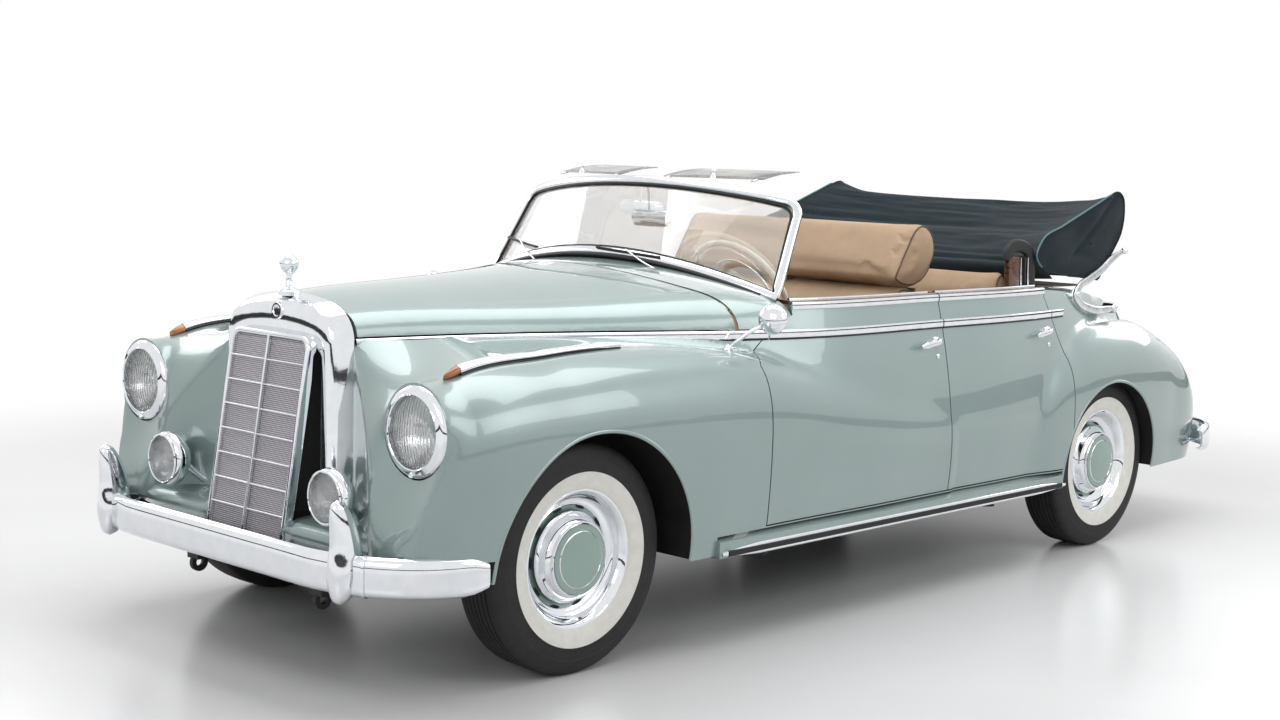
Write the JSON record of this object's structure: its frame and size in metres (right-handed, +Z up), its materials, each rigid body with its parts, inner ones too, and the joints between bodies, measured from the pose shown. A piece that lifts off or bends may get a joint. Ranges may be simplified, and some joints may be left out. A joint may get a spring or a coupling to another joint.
{
  "type": "convertible car",
  "caption": "Large four-door open touring car of the early 1950s with its cloth roof folded, upright grille, flowing wings, side-hinged doors and white-walled tyres.",
  "frame": {"origin": "on the ground, midway along the overall length, on the centre line", "axes": "+X the car's left side, +Y from the nose to the tail, +Z up"},
  "size_m": [1.8328, 4.95, 1.5078],
  "materials": {
    "paint": "metallic gloss",
    "wheel_paint": "gloss with bright rings",
    "chrome": "polished",
    "grille_mesh": "fine mesh",
    "glass": "clear",
    "lamp_glass": "fluted",
    "chassis_black": "satin",
    "steel": "satin",
    "cast_iron": "cast",
    "wood": "polished veneer",
    "ivory": "gloss",
    "leather": "soft grain",
    "hood_cloth": "woven canvas",
    "tyre": "black with a white wall"
  },
  "bodies": {
    "car_body": {"front_wings": "paint", "cowl": "paint", "body_sides": "paint", "rear_body": "paint", "radiator_shell": "chrome", "grille": "grille_mesh", "lamp_rings": "chrome", "lamp_glasses": "lamp_glass", "front_bumper": "chrome", "rear_bumper": "chrome", "windscreen_frame": "chrome", "windscreen_glass": "glass", "chassis_frame": "chassis_black", "tow_eyes": "chassis_black", "floor_pan": "chassis_black", "fuel_tank": "chassis_black", "front_suspension": "steel", "rear_axle": "steel", "driveline": "cast_iron", "dashboard": "wood", "steering_column": "ivory", "front_seat": "leather", "rear_seat": "leather", "folded_hood": "hood_cloth", "hood_irons": "chrome", "sill_strips": "chrome", "rear_lamps": "lamp_glass"},
    "bonnet": {"bonnet": "paint"},
    "boot_lid": {"boot_lid": "paint"},
    "front_door_left": {"front_door_left": "paint"},
    "front_door_right": {"front_door_right": "paint"},
    "rear_door_left": {"rear_door_left": "paint"},
    "rear_door_right": {"rear_door_right": "paint"},
    "knuckle_left": {"knuckle_left": "steel"},
    "knuckle_right": {"knuckle_right": "steel"},
    "steering_wheel": {"steering_wheel": "ivory"},
    "wheel_front_left": {"tyre_front_left": "tyre", "wheel_front_left": "wheel_paint"},
    "wheel_front_right": {"tyre_front_right": "tyre", "wheel_front_right": "wheel_paint"},
    "wheel_rear_left": {"tyre_rear_left": "tyre", "wheel_rear_left": "wheel_paint"},
    "wheel_rear_right": {"tyre_rear_right": "tyre", "wheel_rear_right": "wheel_paint"}
  },
  "joints": [
    {"name": "steering", "type": "hinge", "parent": "car_body", "child": "steering_wheel", "pos_m": [0.36, -0.428, 1.094], "axis": [0, 0.866, 0.5], "range_deg": [-480, 480]},
    {"name": "steer_left", "type": "hinge", "parent": "car_body", "child": "knuckle_left", "pos_m": [0.64, -1.675, 0.359], "axis": [0, 0, 1], "range_deg": [-30, 30]},
    {"name": "spin_front_left", "type": "hinge", "parent": "knuckle_left", "child": "wheel_front_left", "pos_m": [0.74, -1.675, 0.359], "axis": [1, 0, 0], "continuous": true},
    {"name": "spin_rear_left", "type": "hinge", "parent": "car_body", "child": "wheel_rear_left", "pos_m": [0.7625, 1.375, 0.359], "axis": [1, 0, 0], "continuous": true},
    {"name": "steer_right", "type": "hinge", "parent": "car_body", "child": "knuckle_right", "pos_m": [-0.64, -1.675, 0.359], "axis": [0, 0, 1], "range_deg": [-30, 30]},
    {"name": "spin_front_right", "type": "hinge", "parent": "knuckle_right", "child": "wheel_front_right", "pos_m": [-0.74, -1.675, 0.359], "axis": [1, 0, 0], "continuous": true},
    {"name": "spin_rear_right", "type": "hinge", "parent": "car_body", "child": "wheel_rear_right", "pos_m": [-0.7625, 1.375, 0.359], "axis": [1, 0, 0], "continuous": true},
    {"name": "front_door_left_hinge", "type": "hinge", "parent": "car_body", "child": "front_door_left", "pos_m": [0.914, -0.867, 0.6], "axis": [0.0698, 0, -0.9976], "range_deg": [0, 70]},
    {"name": "rear_door_left_hinge", "type": "hinge", "parent": "car_body", "child": "rear_door_left", "pos_m": [0.908, 0.193, 0.6], "axis": [0.0698, 0, -0.9976], "range_deg": [0, 70]},
    {"name": "front_door_right_hinge", "type": "hinge", "parent": "car_body", "child": "front_door_right", "pos_m": [-0.914, -0.867, 0.6], "axis": [0.0698, 0, 0.9976], "range_deg": [0, 70]},
    {"name": "rear_door_right_hinge", "type": "hinge", "parent": "car_body", "child": "rear_door_right", "pos_m": [-0.908, 0.193, 0.6], "axis": [0.0698, 0, 0.9976], "range_deg": [0, 70]},
    {"name": "bonnet_hinge", "type": "hinge", "parent": "car_body", "child": "bonnet", "pos_m": [0, -0.855, 1.16], "axis": [-1, 0, 0], "range_deg": [0, 55]},
    {"name": "boot_lid_hinge", "type": "hinge", "parent": "car_body", "child": "boot_lid", "pos_m": [0, 1.801, 1.014], "axis": [1, 0, 0], "range_deg": [0, 60]}
  ],
  "couplings": [
    {"joint": "steer_left", "follows": "steering", "ratio": 0.0625},
    {"joint": "steer_right", "follows": "steering", "ratio": 0.0625}
  ]
}
